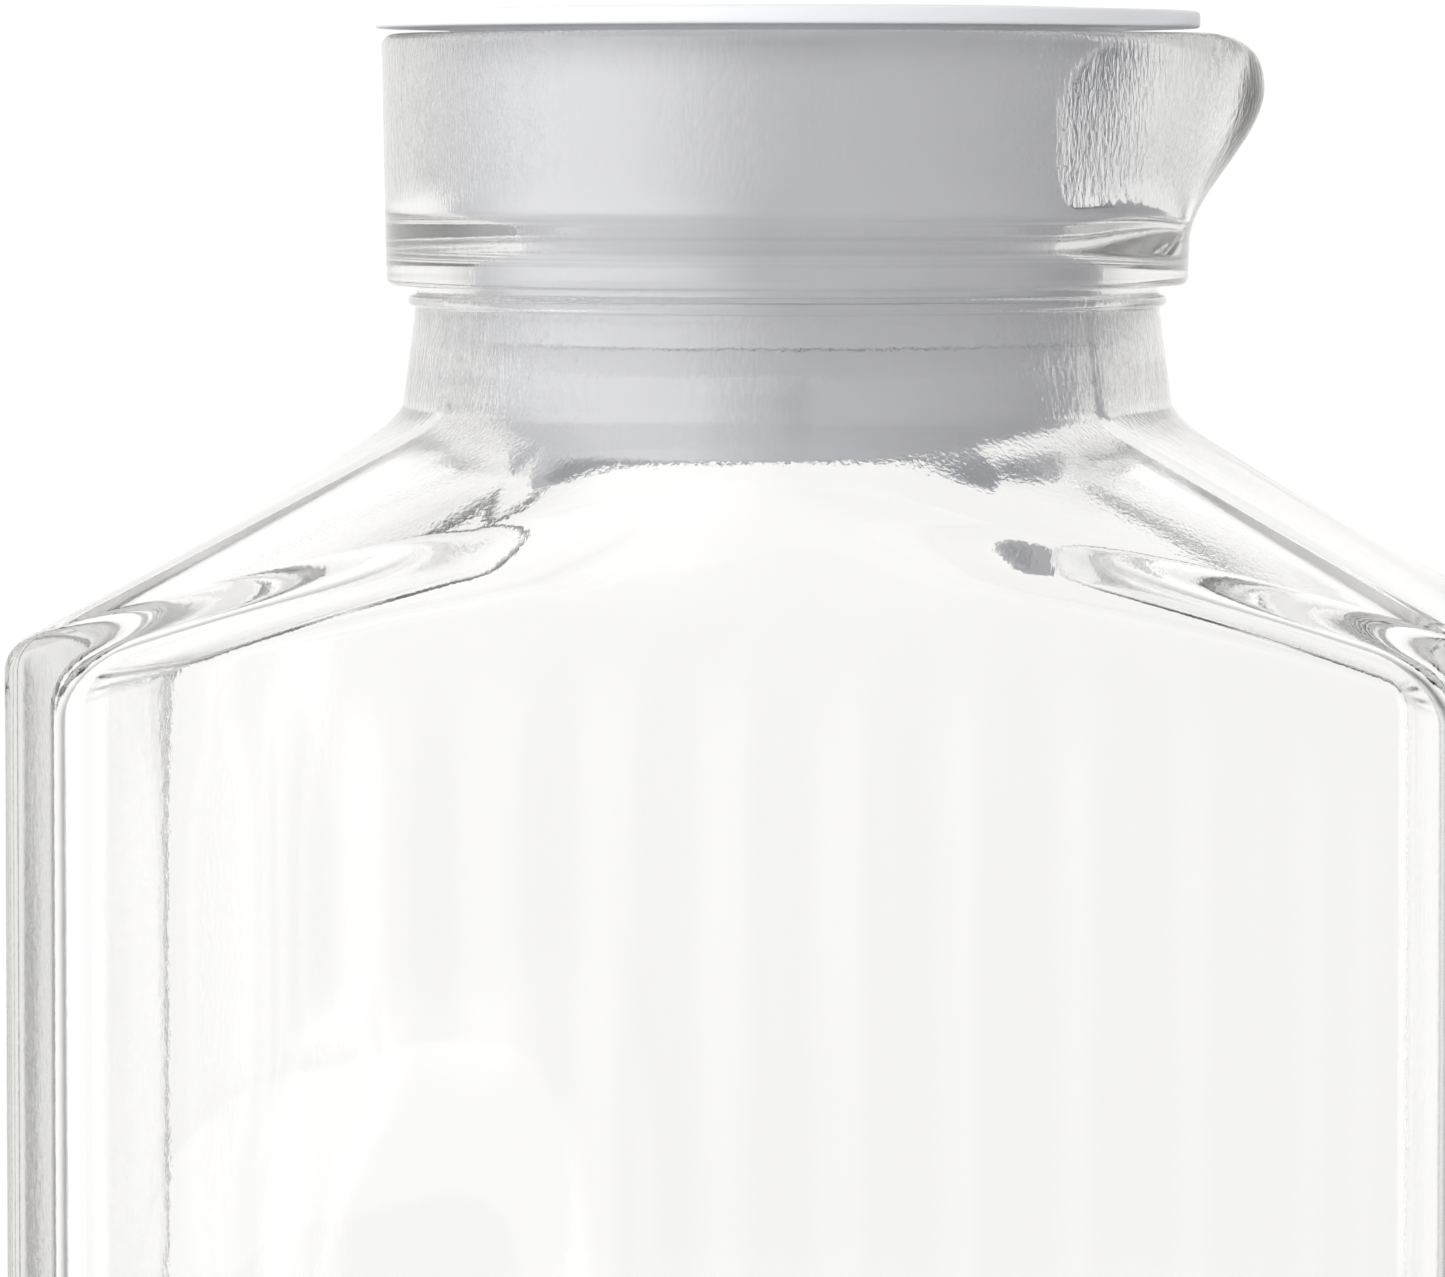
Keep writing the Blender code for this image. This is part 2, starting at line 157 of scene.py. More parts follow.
# Soft seal in the lid's groove
SEAL_GAP = 0.02  # above and below
SEAL_INNER_GAP = 0.06
SEAL_BULGE = 0.2  # past the ring of the frame, towards the neck bore

# Heights in metres over which the rippling of the glass sets in or fades out
RIPPLE_NECK = (0.208, 0.219)
RIPPLE_LEDGE = (0.222, 0.225)
RIPPLE_COLLAR = (0.232, 0.236)
RIPPLE_LEAST = 0.06
MILKY_WHITE = (0.80, 0.81, 0.86, 1.0)

# Camera, in metres and radians
SIGHT_TURN = math.radians(5.3)  # it stands this far towards the spout from the jug's -Y
CAMERA_DISTANCE = 0.81
CAMERA_HEIGHT = (RIM_Z - 9.5) * MM
CAMERA_TIP = math.radians(3.15)  # downwards
CAMERA_SWING = math.radians(0.41)  # to the left
CAMERA_LENS = 225.4
CAMERA_SENSOR = 36.0

# Studio: an even grey and soft lobes of light. A lobe has its direction as seen with the camera at
# -Y, the angles in degrees within which it is full and beyond which it is gone, and its strength.
STUDIO_GREY = 0.22
STUDIO_TINT = (1.0, 0.995, 0.985, 1.0)
STUDIO_LOBES = (
    ((0.0, 1.0, 0.0), 34.0, 84.0, 0.81),
    ((-0.8, -0.5, 0.3), 15.0, 58.0, 2.3),
    ((0.7, -0.7, 0.1), 10.0, 60.0, 0.8),
    ((0.0, 0.1, 1.0), 15.0, 62.0, 0.4),
)


# ---------------------------------------------------------------- shape helpers

def smoothstep(value):
    """0 below 0 and 1 above 1, with a soft rise between them."""
    value = min(max(value, 0.0), 1.0)
    return value * value * (3.0 - 2.0 * value)


def plan_radius(angle, inset_x=0.0, inset_y=0.0, corner=CORNER):
    """Distance from the axis to a rounded rectangle, drawn in from the body's by the insets."""
    half_x = HALF_WIDTH - inset_x
    half_y = HALF_DEPTH - inset_y
    cos = max(abs(math.cos(angle)), 1e-9)
    sin = max(abs(math.sin(angle)), 1e-9)
    if half_x * sin / cos <= half_y - corner:
        return half_x / cos
    if half_y * cos / sin <= half_x - corner:
        return half_y / sin
    centre_x = half_x - corner
    centre_y = half_y - corner
    along = centre_x * cos + centre_y * sin
    return along + math.sqrt(along**2 - centre_x**2 - centre_y**2 + corner**2)


def teardrop_radius(angle, ring, reach, tip):
    """Distance from the axis to a circle stretched to a rounded tip at angle 0."""
    centre = reach - tip
    if centre <= ring - tip:
        return ring
    tangent = math.acos((ring - tip) / centre)
    turn = abs(math.atan2(math.sin(angle), math.cos(angle)))
    if turn >= tangent:
        return ring
    tip_end = math.atan2(tip * math.sin(tangent), centre + tip * math.cos(tangent))
    if turn > tip_end:
        return ring / math.cos(turn - tangent)
    return centre * math.cos(turn) + math.sqrt(tip**2 - (centre * math.sin(turn)) ** 2)


def soft_teardrop(angle, ring, reach, tip):
    """The teardrop averaged over a few degrees, so that its flanks leave the circle smoothly."""
    offsets = [math.radians(1.6 * i) for i in range(-3, 4)]
    weights = [1, 2, 3, 4, 3, 2, 1]
    total = sum(w * teardrop_radius(angle + o, ring, reach, tip) for w, o in zip(weights, offsets))
    return total / sum(weights)


def collar_radius(angle, z):
    """The outside of the collar, which swells into the spout towards its top."""
    low, high = COLLAR_Z
    share = (z - low) / (high - low)
    ring = COLLAR_RADIUS[0] + share * (COLLAR_RADIUS[1] - COLLAR_RADIUS[0])
    rise = smoothstep((z - SPOUT_FOOT_Z) / (SPOUT_TIP_Z - SPOUT_FOOT_Z))
    return ring + rise * (soft_teardrop(angle, ring, SPOUT_REACH, SPOUT_TIP_RADIUS) - ring)


def channel_radius(angle, z):
    """The bore of the collar, which opens into the pouring channel behind the spout."""
    rise = smoothstep((z - SPOUT_FOOT_Z) / (COLLAR_Z[1] - SPOUT_FOOT_Z))
    open_share = CHANNEL_FOOT_SHARE + (1.0 - CHANNEL_FOOT_SHARE) * rise
    swell = soft_teardrop(angle, COLLAR_BORE, CHANNEL_REACH, CHANNEL_TIP_RADIUS) - COLLAR_BORE
    return COLLAR_BORE + open_share * swell


def rim_z(angle):
    """Height of the rim: level round the collar, and dipping along an arc at the spout's tip."""
    out = collar_radius(angle, RIM_Z) * math.cos(angle) - SPOUT_LIP_ROUND[0]
    along = max(out - SPOUT_LIP_START, 0.0)
    return RIM_Z - SPOUT_LIP_ARC + math.sqrt(SPOUT_LIP_ARC**2 - along**2)


def bend(before, corner, after, cut, steps, longer=0.0):
    """Points of a soft curve that cuts a corner of a section, starting and ending on its legs."""

    def on_leg(end, reach):
        length = math.dist(corner, end)
        share = min(reach / length, 0.48)
        return [c + share * (e - c) for c, e in zip(corner, end)]

    start = on_leg(before, cut + longer)
    stop = on_leg(after, cut)
    ends = (start, corner, stop)
    curve = []
    for step in range(steps + 1):
        t = step / steps
        weights = ((1 - t) ** 2, 2 * t * (1 - t), t * t)
        curve.append(tuple(sum(w * p[i] for w, p in zip(weights, ends)) for i in (0, 1)))
    return curve


def inward(start, stop):
    """The unit normal that points into the jug from a stretch of section that runs upwards."""
    length = math.dist(start, stop)
    return (start[1] - stop[1]) / length, (stop[0] - start[0]) / length


def wall_corner(before, corner, after, wall):
    """The inner corner of a wall of even thickness round an outer corner of a section."""
    below = inward(before, corner)
    above = inward(corner, after)
    share = wall / (1.0 + below[0] * above[0] + below[1] * above[1])
    return tuple(c + share * (b + a) for c, b, a in zip(corner, below, above))


def spaced(start, stop, count):
    """Points strictly between two points of a section."""
    shares = [(i + 1) / (count + 1) for i in range(count)]
    return [tuple(a + s * (b - a) for a, b in zip(start, stop)) for s in shares]


def rounded_path(corners, cuts, steps=5):
    """A section through corner points, with each inner corner rounded by its cut."""
    path = [corners[0]]
    for before, corner, after, cut in zip(corners, corners[1:], corners[2:], cuts):
        if cut > 0.0:
            path += bend(before, corner, after, cut, steps)
        else:
            path.append(corner)
    return path + [corners[-1]]


# ---------------------------------------------------------------- glass

def foot_section(angle):
    """The hollow under the base, the ring it stands on and the rounding up to the wall."""
    ring = FOOT_INSET + FOOT_RING_WIDTH
    edge = ring + FOOT_RING_FLANK
    hollow = (plan_radius(angle, edge, edge, FOOT_CORNER), PUSH_UP)
    inner = (plan_radius(angle, ring, ring, FOOT_CORNER), 0.0)
    foot = (plan_radius(angle, FOOT_INSET, FOOT_INSET, FOOT_CORNER), 0.0)
    wall = plan_radius(angle)
    points = []
    for share in (0.25, 0.5, 0.75, 0.95):
        points.append((hollow[0] * share, PUSH_UP + PUSH_UP_DOME * (1 - share * share)))
    points += bend(points[-1], hollow, inner, 1.0, 4)
    points += bend(hollow, inner, foot, 1.0, 4)
    points += spaced(points[-1], foot, 3)
    for step in range(13):
        turn = math.radians(90 * step / 12)
        across = foot[0] + (wall - foot[0]) * math.sin(turn)
        points.append((across, FOOT_INSET * (1 - math.cos(turn))))
    return points


def shoulder_corner(angle):
    """Where the wall of the body meets the arched shoulder."""
    radius = plan_radius(angle)
    return radius, ARCH_TOP - ARCH_DROP * (radius * math.cos(angle)) ** 2


def mid_face(angle):
    """1 in the middle of a broad face, fading to 0 towards its ends."""
    return smoothstep(1.0 - abs(plan_radius(angle) * math.cos(angle)) / MID_FACE_REACH)


def outer_section(angle):
    """The outside of the glass, from the foot up to the rim."""
    points = foot_section(angle)
    corner = shoulder_corner(angle)
    neck = (NECK_RADIUS, NECK_Z)
    shoulder = bend(points[-1], corner, THROAT, SHOULDER_CUT, 12, MID_FACE_CUT * mid_face(angle))
    points += spaced(points[-1], shoulder[0], WALL_ROWS)
    points += shoulder
    throat = bend(corner, THROAT, neck, THROAT_CUT, 8)
    points += spaced(shoulder[-1], throat[0], SLOPE_ROWS)
    points += throat
    low = COLLAR_Z[0]
    swell_z = low + 2.0
    corners = [throat[-1], (NECK_TOP_RADIUS + 0.05, RIDGE_Z[0])]
    corners += [(RIDGE_RADIUS, RIDGE_Z[0] + 0.2), (RIDGE_RADIUS, RIDGE_Z[1] - 0.2)]
    corners += [(NECK_TOP_RADIUS, RIDGE_Z[1]), (NECK_TOP_RADIUS, low)]
    corners += [(collar_radius(angle, low), low), (collar_radius(angle, swell_z), swell_z)]
    points += rounded_path(corners, (0.3, 0.3, 0.3, 0.2, 0.25, 0.9), 4)[1:]
    while swell_z < SWELL_END_Z:
        swell_z += 0.6
        points.append((collar_radius(angle, swell_z), swell_z))
    return points + rim_section(angle)


def rim_section(angle):
    """The rim from outside to inside: tight round the collar, and rolled over at the spout."""
    high = rim_z(angle)
    outside = collar_radius(angle, high)
    swell = max((outside - COLLAR_RADIUS[1]) / (SPOUT_REACH - COLLAR_RADIUS[1]), 0.0)
    across, down = (RIM_ROUND + swell * (lip - RIM_ROUND) for lip in SPOUT_LIP_ROUND)
    points = []
    for share in (0.8, 0.6, 0.4, 0.2):
        z = high - down - share * (high - down - SWELL_END_Z)
        points.append((collar_radius(angle, z), z))
    for step in range(9):
        turn = math.radians(90 * step / 8)
        z = high - down * (1 - math.sin(turn))
        points.append((outside - across * (1 - math.cos(turn)), z))
    inside = channel_radius(angle, high)
    for step in range(7):
        turn = math.radians(90 * step / 6)
        z = high - RIM_INNER_ROUND * (1 - math.cos(turn))
        points.append((inside + RIM_INNER_ROUND * (1 - math.sin(turn)), z))
    return points


def inner_section(angle):
    """The inside of the glass, from under the rim down to the floor."""
    points = []
    z = SPOUT_TIP_Z
    while z > LEDGE_Z[1] + 0.8:
        points.append((channel_radius(angle, z), z))
        z -= 0.7
    ledge = [(channel_radius(angle, LEDGE_Z[1]), LEDGE_Z[1]), (NECK_BORE, LEDGE_Z[0])]
    below = (NECK_BORE, LEDGE_Z[0] - 2.0)
    points += rounded_path([points[-1]] + ledge + [below], (0.9, 0.9), 5)[1:]
    outer = shoulder_corner(angle)
    wall = plan_radius(angle, SIDE_WALL, FACE_WALL, INNER_CORNER)
    thickness = min(outer[0] - wall, SHOULDER_WALL)
    slope = inward(outer, THROAT)
    on_slope = (outer[0] + thickness * slope[0], outer[1] + thickness * slope[1])
    corner = (wall, on_slope[1] + (on_slope[0] - wall) * slope[0] / slope[1])
    throat_corner = wall_corner(outer, THROAT, (NECK_RADIUS, NECK_Z), thickness)
    neck = (NECK_BORE, NECK_Z - 1.0)
    floor = (wall, BASE_THICKNESS + FLOOR_ROUND)
    throat = bend(neck, throat_corner, corner, THROAT_CUT, 8)
    longer = MID_FACE_CUT * mid_face(angle)
    shoulder = bend(floor, corner, throat_corner, INNER_SHOULDER_CUT, 12, longer)
    shoulder.reverse()
    points += spaced(points[-1], throat[0], 8) + throat
    points += spaced(throat[-1], shoulder[0], SLOPE_ROWS) + shoulder
    points += spaced(shoulder[-1], floor, WALL_ROWS)
    across = plan_radius(angle, SIDE_WALL + FLOOR_ROUND, FACE_WALL + FLOOR_ROUND, INNER_CORNER)
    for step in range(13):
        turn = math.radians(90 * step / 12)
        radius = wall - (wall - across) * (1 - math.cos(turn))
        points.append((radius, BASE_THICKNESS + FLOOR_ROUND * (1 - math.sin(turn))))
    points += [(across * share, BASE_THICKNESS) for share in (0.9, 0.7, 0.45, 0.2)]
    return points


def grip_share(x, z):
    """1 inside the grip hollow, fading to 0 at its slanted, rounded outline."""
    across = (x - GRIP_X) / GRIP_HALF_WIDTH
    along = (z - GRIP_Z - GRIP_SLANT * (x - GRIP_X)) / GRIP_HALF_HEIGHT
    return smoothstep((1.0 - across**4 - along**4) / GRIP_FADE)


def press_in(point, inset):
    """Moves a point of a broad face: in for the grip hollow, out for a flute of the inside."""
    x, y, z = point
    if abs(abs(y) - (HALF_DEPTH - inset)) > 0.01:
        return point
    top = ARCH_TOP - ARCH_DROP * x * x - SHOULDER_WALL - INNER_SHOULDER_CUT
    share = smoothstep((top - z) / FLUTE_FADE)
    share *= smoothstep((z - BASE_THICKNESS - FLOOR_ROUND) / FLUTE_FADE)
    share *= smoothstep((FLAT_END - abs(x)) / (FLUTE_PITCH / 2))
    grip = grip_share(x, z)
    move = -share * grip * GRIP_DEPTH
    if inset > 0.0:
        wave = 0.5 * (1.0 + math.cos(math.tau * x / FLUTE_PITCH))
        move += share * (1.0 - grip) * wave * FLUTE_DEPTH
    return x, math.copysign(abs(y) + move, y), z


def section_angles():
    """Directions of the sections: even steps along the broad faces, and close at both corners."""
    inner_depth = HALF_DEPTH - FACE_WALL
    across = [FLAT_END * (1 - 2 * i / FACE_STEPS) for i in range(FACE_STEPS + 1)]
    face = [math.atan2(inner_depth, x) for x in across]
    inner_low = math.atan2(inner_depth - INNER_CORNER, HALF_WIDTH - SIDE_WALL)
    outer_low = math.atan2(HALF_DEPTH - CORNER, HALF_WIDTH)
    outer_high = math.atan2(HALF_DEPTH, HALF_WIDTH - CORNER)
    side = [inner_low * i / 14 for i in range(-14, 15)]
    corner = [inner_low + (outer_low - inner_low) * i / 16 for i in range(1, 16)]
    corner += [outer_low + (outer_high - outer_low) * i / 14 for i in range(15)]
    corner += [outer_high + (face[0] - outer_high) * i / 8 for i in range(1, 8)]
    mirrored = [math.pi - a for a in reversed(corner)]
    half = side + corner + face + mirrored
    other = [math.pi + a for a in side]
    lower = [math.tau - a for a in reversed(corner + face + mirrored)]
    return half + other + lower


def add_mesh(name, points, faces):
    """A smooth-shaded object from points in millimetres."""
    mesh = bpy.data.meshes.new(name)
    mesh.from_pydata([[c * MM for c in p] for p in points], [], faces)
    mesh.validate()
    mesh.shade_smooth()
    piece = bpy.data.objects.new(name, mesh)
    bpy.context.scene.collection.objects.link(piece)
    return piece


def shell(name, angles, section, bottom_z, top_z):
    """A closed shell from sections, with one pole on the axis at each end of the sections."""
    columns = [section(angle) for angle in angles]
    points = [(0.0, 0.0, bottom_z), (0.0, 0.0, top_z)]
    points += [point for column in columns for point in column]
    rows = len(columns[0])
    faces = []
    count = len(angles)
    for i in range(count):
        here = 2 + i * rows
        there = 2 + (i + 1) % count * rows
        faces.append((0, there, here))
        faces += [(here + j, there + j, there + j + 1, here + j + 1) for j in range(rows - 1)]
        faces.append((1, here + rows - 1, there + rows - 1))
    return add_mesh(name, points, faces)


def glass_section(angle):
    """One section of the glass as points in space, outside first, then inside."""
    column = []
    for inset, part in ((0.0, outer_section(angle)), (FACE_WALL, inner_section(angle))):
        for radius, z in part:
            point = (radius * math.cos(angle), radius * math.sin(angle), z)
            column.append(press_in(point, inset))
    return column


def make_glass():
    dome_top = PUSH_UP + PUSH_UP_DOME
    glass = shell("jug_glass", section_angles(), glass_section, dome_top, BASE_THICKNESS)
    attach(glass, "jug")
    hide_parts("glass_jug")
    return glass


# ---------------------------------------------------------------- lid and seal

def lug_height(angle, z):
    """How far a wedge lug stands proud of the skirt: thick at its top, nothing at the hem."""
    step = math.tau / LUG_COUNT
    turn = (angle - LUG_TURN + step / 2) % step - step / 2
    across = abs(turn) * SKIRT_RADIUS
    if z >= LUG_CREST_Z:
        proud = LUG_PROUD * (LUG_TOP_Z - z) / (LUG_TOP_Z - LUG_CREST_Z)
    else:
        proud = LUG_PROUD * (z - SKIRT_BOTTOM) / (LUG_CREST_Z - SKIRT_BOTTOM)
    return max(min(proud, (LUG_HALF_WIDTH - across) * LUG_FLANK_SLOPE), 0.0)


def lid_section(angle):
    """The lid from inside the plug's top, down its inside, up its outside and over the disc."""
    under = LID_TOP - LID_THICKNESS
    top = LID_TOP - PANEL_HEIGHT
    inner = SKIRT_RADIUS - SKIRT_WALL
    plug_inner = PLUG_RADIUS - SKIRT_WALL
    corners = [(plug_inner * 0.5, under), (plug_inner, under), (plug_inner, LEDGE_Z[1] + 2.0)]
    corners += [(THROAT_RADIUS - SKIRT_WALL, LEDGE_Z[1]), (inner - 0.4, GROOVE_Z[1] + 1.0)]
    inner_hem = (inner, SKIRT_BOTTOM)
    outer_hem = (SKIRT_RADIUS, SKIRT_BOTTOM)
    corners += [(inner, GROOVE_Z[0] - 2.0), inner_hem, outer_hem]
    path = rounded_path(corners, (1.2, 0.8, 0.8, 0.8, 0.8, 0.3), 5)[:-1]
    path += bend(inner_hem, outer_hem, (SKIRT_RADIUS, LUG_TOP_Z), 0.25, 4)
    hem_z = SKIRT_BOTTOM + SKIRT_HEM
    steps = 18
    for step in range(1, steps + 1):
        z = hem_z + (LUG_TOP_Z - hem_z) * step / steps
        path.append((SKIRT_RADIUS + lug_height(angle, z), z))
    corners = [path[-1], (SKIRT_RADIUS + SKIRT_FLARE, GROOVE_Z[0])]
    corners += [(GROOVE_RADIUS, GROOVE_Z[0]), (GROOVE_RADIUS, GROOVE_Z[1])]
    corners += [(THROAT_RADIUS, GROOVE_Z[1]), (THROAT_RADIUS, LEDGE_Z[0] + 0.6)]
    corners += [(PLUG_RADIUS, LEDGE_Z[1] + 0.3), (PLUG_RADIUS, under)]
    corners += [(LID_RADIUS, under), (LID_RADIUS, top), (PANEL_RADIUS, top)]
    corners += [(PANEL_RADIUS - 0.3, LID_TOP), (PANEL_RADIUS * 0.5, LID_TOP)]
    cuts = (0.3, 0.15, 0.15, 0.3, 0.5, 0.5, 0.4, 0.35, 0.5, 0.3, 0.25)
    path += rounded_path(corners, cuts, 4)[1:]
    return [(r * math.cos(angle), r * math.sin(angle), z) for r, z in path]


def lid_angles():
    """Even steps, with extra ones on the flanks of the wedge lugs."""
    step = math.tau / LUG_COUNT
    flank = LUG_HALF_WIDTH / SKIRT_RADIUS
    knee = flank - LUG_PROUD / LUG_FLANK_SLOPE / SKIRT_RADIUS
    mid_flank = (flank + knee) / 2
    near = [-flank, -mid_flank, -knee, -knee / 2, 0.0, knee / 2, knee, mid_flank, flank]
    between = [flank + (step - 2 * flank) * i / 24 for i in range(1, 24)]
    return [LUG_TURN + step * lug + turn for lug in range(LUG_COUNT) for turn in near + between]


def pour_gap_cutter():
    """A rounded slab along +X that opens the plug's wall towards the spout."""
    low, high = POUR_Z
    outline = []
    for quarter, (side, over) in enumerate(((1, 1), (-1, 1), (-1, 0), (1, 0))):
        corner = POUR_CORNERS[over]
        y = side * (POUR_HALF_WIDTH - corner)
        z = high - corner if over else low + corner
        for step in range(13):
            turn = math.radians(90 * (quarter + step / 12))
            outline.append((y + corner * math.cos(turn), z + corner * math.sin(turn)))
    size = len(outline)
    points = [(x, y, z) for x in POUR_X for y, z in outline]
    faces = [tuple(reversed(range(size))), tuple(range(size, 2 * size))]
    faces += [(i, (i + 1) % size, size + (i + 1) % size, size + i) for i in range(size)]
    return add_mesh("pour_gap_cutter", points, faces)


def cut_pour_gap(lid):
    """Cuts the gap into the lid's own mesh, so that no cutter stays in the scene."""
    cutter = pour_gap_cutter()
    gap = lid.modifiers.new("pour_gap", "BOOLEAN")
    gap.operation = "DIFFERENCE"
    gap.solver = "EXACT"
    gap.object = cutter
    evaluated = lid.evaluated_get(bpy.context.evaluated_depsgraph_get())
    mesh = bpy.data.meshes.new_from_object(evaluated)
    lid.modifiers.clear()
    lid.data = mesh
    bpy.data.objects.remove(cutter, do_unlink=True)


def make_lid():
    lid = shell("lid_shell", lid_angles(), lid_section, LID_TOP - LID_THICKNESS, LID_TOP)
    cut_pour_gap(lid)
    lid.data.set_sharp_from_angle(angle=math.radians(40))
    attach(lid, "lid")
    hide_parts("stopper_lid")
    return lid


def make_seal():
    """A soft ring with rounded edges that fills the lid's groove."""
    low = GROOVE_Z[0] + SEAL_GAP
    high = GROOVE_Z[1] - SEAL_GAP
    outer = seal_high.x / MM + SEAL_BULGE
    inner = GROOVE_RADIUS + SEAL_INNER_GAP
    middle = (low + high) / 2
    corners = [(inner, middle), (inner, low), (outer, low)]
    corners += [(outer, high), (inner, high), (inner, middle)]
    loop = rounded_path(corners, (0.3, 0.25, 0.25, 0.3), 6)[:-1]
    count = 160
    points = []
    for i in range(count):
        turn = math.tau * i / count
        points += [(r * math.cos(turn), r * math.sin(turn), z) for r, z in loop]
    size = len(loop)
    faces = []
    for i in range(count):
        here = i * size
        there = (i + 1) % count * size
        for j in range(size):
            k = (j + 1) % size
            faces.append((here + j, there + j, there + k, here + k))
    seal = add_mesh("seal_band", points, faces)
    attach(seal, "seal")
    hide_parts("seal_ring")
    return seal


# ---------------------------------------------------------------- materials

def new_material(name):
    """A material with its node tree and its main shader."""
    material = bpy.data.materials.new(name)
    material.use_nodes = True
    tree = material.node_tree
    return material, tree, tree.nodes["Principled BSDF"]


def noise(tree, scale, detail, mapping_scale=(1.0, 1.0, 1.0)):
    """A noise texture fixed to the piece, stretched by the mapping."""
    coords = tree.nodes.new("ShaderNodeTexCoord")
    mapping = tree.nodes.new("ShaderNodeMapping")
    mapping.inputs["Scale"].default_value = mapping_scale
    texture = tree.nodes.new("ShaderNodeTexNoise")
    texture.inputs["Scale"].default_value = scale
    texture.inputs["Detail"].default_value = detail
    tree.links.new(coords.outputs["Object"], mapping.inputs["Vector"])
    tree.links.new(mapping.outputs["Vector"], texture.inputs["Vector"])
    return texture


def bump(tree, height, strength, distance, normal=None):
    """A bump from a height, laid over another bump's normal if one is given."""
    node = tree.nodes.new("ShaderNodeBump")
    node.inputs["Strength"].default_value = strength
    node.inputs["Distance"].default_value = distance
    tree.links.new(height, node.inputs["Height"])
    if normal is not None:
        tree.links.new(normal, node.inputs["Normal"])
    return node


def height_share(tree, low, high):
    """RIPPLE_LEAST below one height of the jug, 1 above another."""
    coords = tree.nodes.new("ShaderNodeTexCoord")
    parts = tree.nodes.new("ShaderNodeSeparateXYZ")
    tree.links.new(coords.outputs["Object"], parts.inputs["Vector"])
    fade = tree.nodes.new("ShaderNodeMapRange")
    fade.interpolation_type = "SMOOTHSTEP"
    fade.inputs["From Min"].default_value = low
    fade.inputs["From Max"].default_value = high
    fade.inputs["To Min"].default_value = RIPPLE_LEAST
    tree.links.new(parts.outputs["Z"], fade.inputs["Value"])
    return fade.outputs["Result"]


def combined(tree, operation, one, other):
    """The result of a sum, a difference or a product of two sockets."""
    node = tree.nodes.new("ShaderNodeMath")
    node.operation = operation
    tree.links.new(one, node.inputs[0])
    tree.links.new(other, node.inputs[1])
    return node.outputs[0]


def ripple_share(tree):
    """Where the glass ripples: on the neck and the collar, but not on the ledge between them."""
    neck = height_share(tree, *RIPPLE_NECK)
    ledge = height_share(tree, *RIPPLE_LEDGE)
    collar = height_share(tree, *RIPPLE_COLLAR)
    return combined(tree, "ADD", combined(tree, "SUBTRACT", neck, ledge), collar)


def glass_material():
    """Clear glass with a faint grey in its depth, rippled at the neck and the collar."""
    material, tree, shader = new_material("pressed_glass")
    shader.inputs["Base Color"].default_value = (1.0, 1.0, 1.0, 1.0)
    shader.inputs["Roughness"].default_value = 0.0
    shader.inputs["IOR"].default_value = 1.52
    shader.inputs["Transmission Weight"].default_value = 1.0
    depth = tree.nodes.new("ShaderNodeVolumeAbsorption")
    depth.inputs["Color"].default_value = (0.55, 0.55, 0.53, 1.0)
    depth.inputs["Density"].default_value = 9.0
    tree.links.new(depth.outputs["Volume"], tree.nodes["Material Output"].inputs["Volume"])
    grain = noise(tree, 2600.0, 3.0, (1.0, 1.0, 0.35))
    shiver = noise(tree, 600.0, 2.0, (1.0, 1.0, 0.3))
    wave = noise(tree, 30.0, 1.0)
    share = ripple_share(tree)
    fine_height = combined(tree, "MULTIPLY", grain.outputs["Fac"], share)
    middle_height = combined(tree, "MULTIPLY", shiver.outputs["Fac"], share)
    fine = bump(tree, fine_height, 1.0, 0.00009)
    middle = bump(tree, middle_height, 0.3, 0.0002, fine.outputs["Normal"])
    broad = bump(tree, wave.outputs["Fac"], 0.05, 0.002, middle.outputs["Normal"])
    tree.links.new(broad.outputs["Normal"], shader.inputs["Normal"])
    return material


def plastic_material():
    material, tree, shader = new_material("white_polyethylene")
    shader.inputs["Base Color"].default_value = MILKY_WHITE
    shader.inputs["Roughness"].default_value = 0.42
    shader.inputs["Subsurface Weight"].default_value = 0.15
    shader.inputs["Subsurface Radius"].default_value = (0.004, 0.004, 0.004)
    grain = noise(tree, 900.0, 3.0)
    surface = bump(tree, grain.outputs["Fac"], 0.06, 0.0002)
    tree.links.new(surface.outputs["Normal"], shader.inputs["Normal"])
    return material


def seal_material():
    material, tree, shader = new_material("milky_elastomer")
    shader.inputs["Base Color"].default_value = MILKY_WHITE
    shader.inputs["Roughness"].default_value = 0.35
    shader.inputs["Subsurface Weight"].default_value = 0.3
    shader.inputs["Subsurface Radius"].default_value = (0.003, 0.003, 0.003)
    grain = noise(tree, 500.0, 2.0)
    surface = bump(tree, grain.outputs["Fac"], 0.08, 0.0002)
    tree.links.new(surface.outputs["Normal"], shader.inputs["Normal"])
    return material


# ---------------------------------------------------------------- stage, light and camera

def make_floor():
    """A pale disc, one metre in radius, under the jug."""
    mesh = bpy.data.meshes.new("floor")
    count = 96
    turns = [math.tau * i / count for i in range(count)]
    ring = [(math.cos(turn), math.sin(turn), 0.0) for turn in turns]
    mesh.from_pydata(ring, [], [tuple(range(count))])
    floor = bpy.data.objects.new("floor", mesh)
    bpy.context.scene.collection.objects.link(floor)
    material, _, shader = new_material("pale_floor")
    shader.inputs["Base Color"].default_value = (0.86, 0.86, 0.86, 1.0)
    shader.inputs["Roughness"].default_value = 0.7
    mesh.materials.append(material)


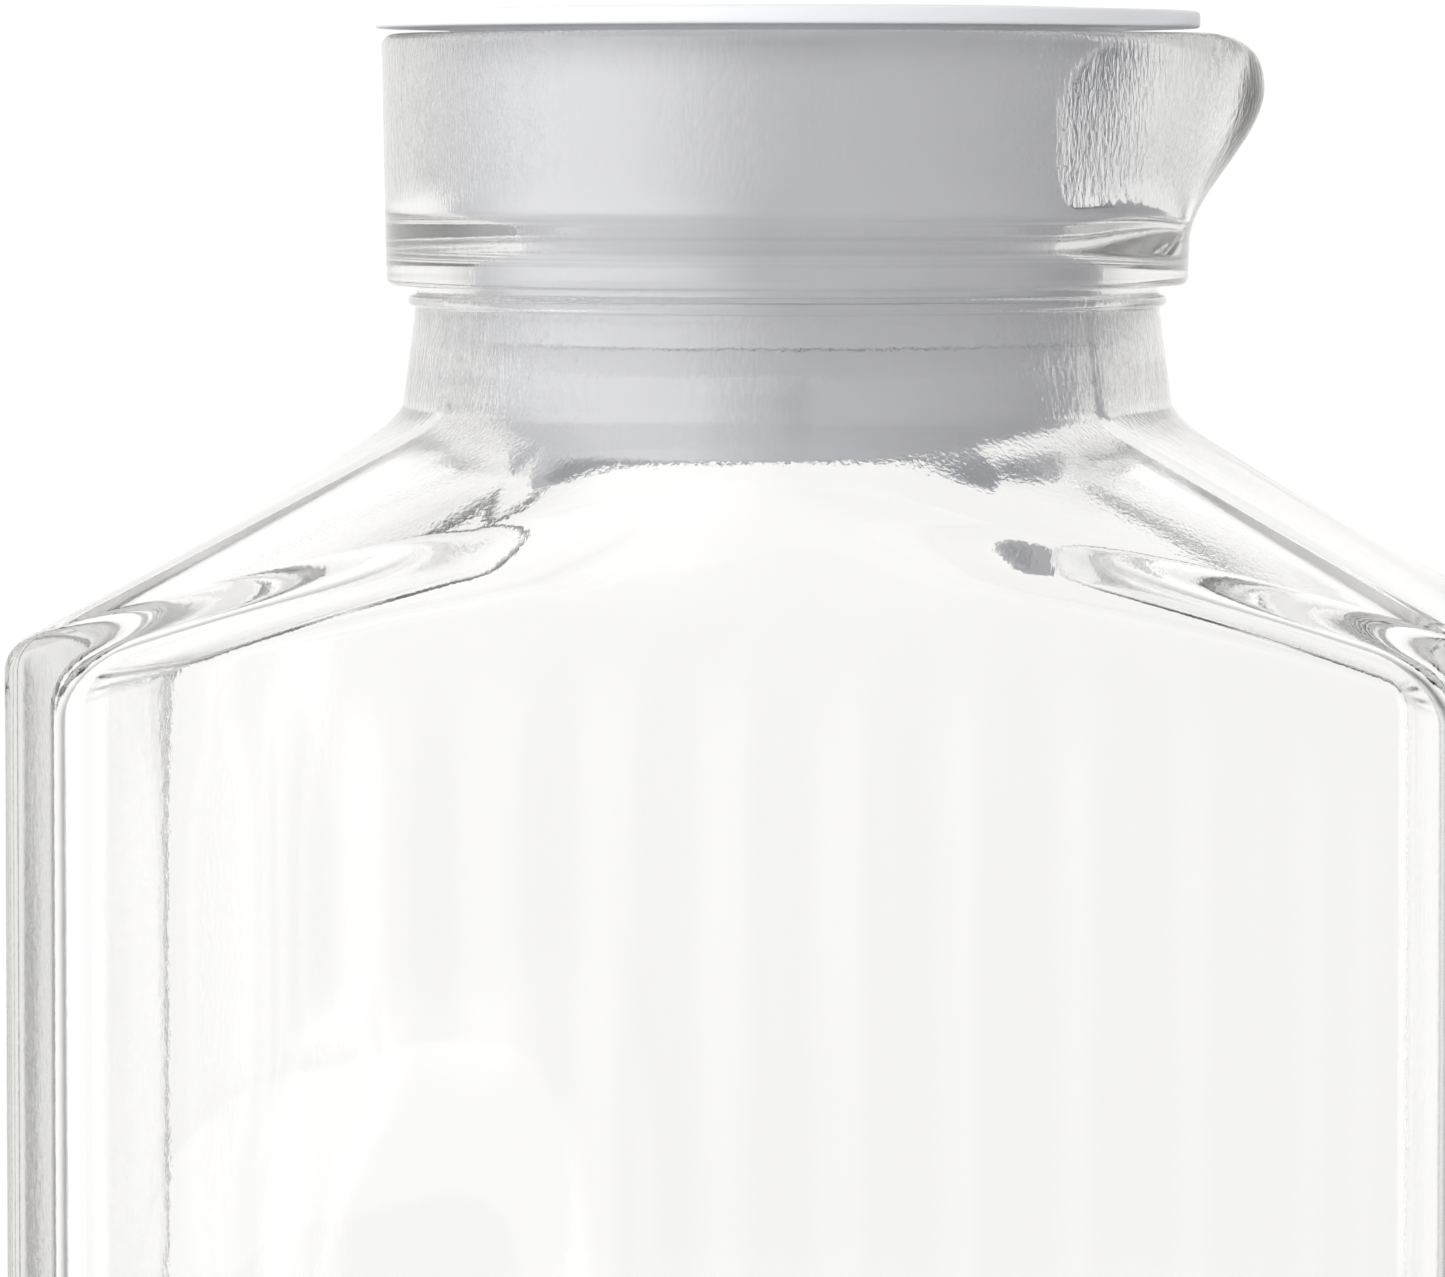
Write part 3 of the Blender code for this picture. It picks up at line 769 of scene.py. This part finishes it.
def lobe(tree, coords, direction, narrow, wide, strength):
    """A soft patch of light: full within one angle from a direction, and gone beyond another."""
    towards = Vector(direction).normalized()
    towards.rotate(Euler((0.0, 0.0, SIGHT_TURN)))
    facing = tree.nodes.new("ShaderNodeVectorMath")
    facing.operation = "DOT_PRODUCT"
    facing.inputs[1].default_value = towards
    tree.links.new(coords.outputs["Generated"], facing.inputs[0])
    fade = tree.nodes.new("ShaderNodeMapRange")
    fade.interpolation_type = "SMOOTHSTEP"
    fade.inputs["From Min"].default_value = math.cos(math.radians(wide))
    fade.inputs["From Max"].default_value = math.cos(math.radians(narrow))
    fade.inputs["To Min"].default_value = 0.0
    fade.inputs["To Max"].default_value = strength
    tree.links.new(facing.outputs["Value"], fade.inputs["Value"])
    return fade.outputs["Result"]


def make_world():
    """A grey studio: a white wall behind the jug, soft lights left and right of it and overhead."""
    world = bpy.data.worlds.new("studio")
    bpy.context.scene.world = world
    world.use_nodes = True
    tree = world.node_tree
    background = tree.nodes["Background"]
    coords = tree.nodes.new("ShaderNodeTexCoord")
    total = None
    for direction, narrow, wide, strength in STUDIO_LOBES:
        patch = lobe(tree, coords, direction, narrow, wide, strength)
        add = tree.nodes.new("ShaderNodeMath")
        add.operation = "ADD"
        add.inputs[1].default_value = STUDIO_GREY
        if total is not None:
            tree.links.new(total, add.inputs[1])
        tree.links.new(patch, add.inputs[0])
        total = add.outputs[0]
    tree.links.new(total, background.inputs["Strength"])
    background.inputs["Color"].default_value = STUDIO_TINT


def make_camera():
    """A long lens level with the collar, tipped down so that the collar lies high in the frame."""
    camera = bpy.data.cameras.new("camera")
    camera.sensor_width = CAMERA_SENSOR
    camera.lens = CAMERA_LENS
    camera.dof.use_dof = False
    camera.clip_start = 0.01
    view = bpy.data.objects.new("camera", camera)
    bpy.context.scene.collection.objects.link(view)
    across = CAMERA_DISTANCE * math.sin(SIGHT_TURN)
    back = CAMERA_DISTANCE * math.cos(SIGHT_TURN)
    view.location = (across, -back, CAMERA_HEIGHT)
    view.rotation_mode = "XYZ"
    view.rotation_euler = (math.radians(90) - CAMERA_TIP, 0.0, SIGHT_TURN + CAMERA_SWING)
    bpy.context.scene.camera = view


def follow_light_through_glass():
    """Enough bounces for a ray that is reflected many times inside a wall of the jug."""
    paths = bpy.context.scene.cycles
    paths.max_bounces = 40
    paths.glossy_bounces = 32
    paths.transmission_bounces = 40


def main():
    glass = make_glass()
    glass.data.materials.append(glass_material())
    lid = make_lid()
    lid.data.materials.append(plastic_material())
    seal = make_seal()
    seal.data.materials.append(seal_material())
    make_floor()
    make_world()
    make_camera()
    follow_light_through_glass()
    bpy.context.scene.view_settings.view_transform = "Standard"


main()
